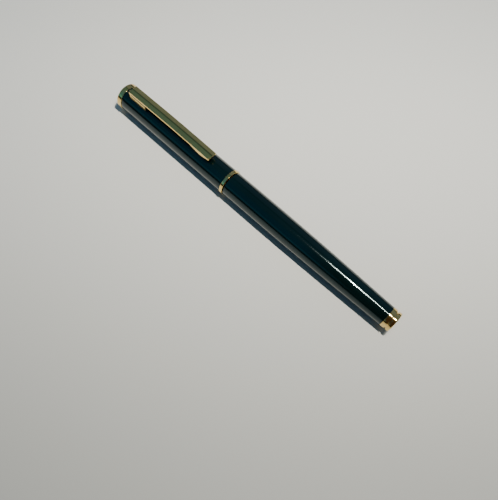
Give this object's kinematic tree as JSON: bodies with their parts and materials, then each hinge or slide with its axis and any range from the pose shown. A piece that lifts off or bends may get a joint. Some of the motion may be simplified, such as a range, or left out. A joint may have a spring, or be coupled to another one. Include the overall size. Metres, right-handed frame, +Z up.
{
  "type": "fountain pen",
  "caption": "Slim capped fountain pen with dark lacquered barrel and cap, gold rings and clip, screw-in section with nib, and piston converter.",
  "frame": {"origin": "centre of the flat end face of the barrel's gold end button, on the pen's axis", "axes": "+X along the pen from the barrel end to the cap crown, +Z up through the clip, +Y completes the right-handed frame"},
  "size_m": [0.135, 0.0104, 0.0135],
  "materials": {
    "lacquer": "high gloss, very dark teal lacquer over brass",
    "gold_plate": "polished gold plate",
    "bare_brass": "turned, unplated",
    "steel": "turned and stamped",
    "black_plastic": "polished moulding",
    "clear_plastic": "clear moulded plastic",
    "seal_rubber": "soft rubber"
  },
  "bodies": {
    "barrel": {"barrel_tube": "lacquer", "barrel_thread_bush": "bare_brass", "barrel_tail_plug": "bare_brass", "barrel_end_ring": "gold_plate", "barrel_end_button": "gold_plate"},
    "clutch_ring": {"clutch_ring": "gold_plate"},
    "section_seal": {"section_o_ring": "seal_rubber"},
    "section": {"section_coupling": "bare_brass", "section_grip": "black_plastic", "section_front_ring": "gold_plate", "nib_collar": "black_plastic", "nib": "gold_plate", "feed": "black_plastic", "ink_nipple": "black_plastic"},
    "converter": {"converter_mouth": "black_plastic", "converter_chamber": "clear_plastic", "converter_band": "steel", "converter_housing": "black_plastic"},
    "converter_knob": {"converter_knob": "black_plastic", "converter_drive_nut": "bare_brass"},
    "converter_piston": {"piston_rod": "steel", "piston_seal": "seal_rubber"},
    "cap": {"cap_tube": "lacquer", "cap_lip_band": "gold_plate", "cap_top_ring": "gold_plate", "cap_crown_disc": "lacquer", "cap_screw": "steel", "cap_inner_sleeve": "black_plastic", "cap_clutch_sleeve": "bare_brass", "clip_bracket": "steel"},
    "clip": {"clip": "gold_plate"}
  },
  "joints": [
    {"name": "cap_pull", "type": "slide", "parent": "section", "child": "cap", "axis": [1, 0, 0], "range_m": [0, 0.055]},
    {"name": "clip_flex", "type": "hinge", "parent": "cap", "child": "clip", "pos_m": [0.129, 0, 0.0047], "axis": [0, 1, 0], "range_deg": [0, 5], "stiffness_Nm_per_rad": 2.7, "springref_deg": -0.23},
    {"name": "section_withdraw", "type": "slide", "parent": "barrel", "child": "clutch_ring", "axis": [1, 0, 0], "range_m": [0, 0.06]},
    {"name": "section_screw_travel", "type": "slide", "parent": "clutch_ring", "child": "section_seal", "axis": [1, 0, 0], "range_m": [0, 0.0035]},
    {"name": "section_unscrew", "type": "hinge", "parent": "section_seal", "child": "section", "pos_m": [0.0769, 0, 0], "axis": [1, 0, 0], "range_deg": [0, 1800]},
    {"name": "converter_pull", "type": "slide", "parent": "section", "child": "converter", "axis": [-1, 0, 0], "range_m": [0, 0.008]},
    {"name": "knob_turn", "type": "hinge", "parent": "converter", "child": "converter_knob", "pos_m": [0.0255, 0, 0], "axis": [1, 0, 0], "range_deg": [0, 2880]},
    {"name": "piston_travel", "type": "slide", "parent": "converter", "child": "converter_piston", "axis": [-1, 0, 0], "range_m": [0, 0.022]}
  ],
  "couplings": [
    {"joint": "section_unscrew", "follows": "section_screw_travel", "rad_per_m": 8976},
    {"joint": "knob_turn", "follows": "piston_travel", "rad_per_m": 2284.8}
  ]
}
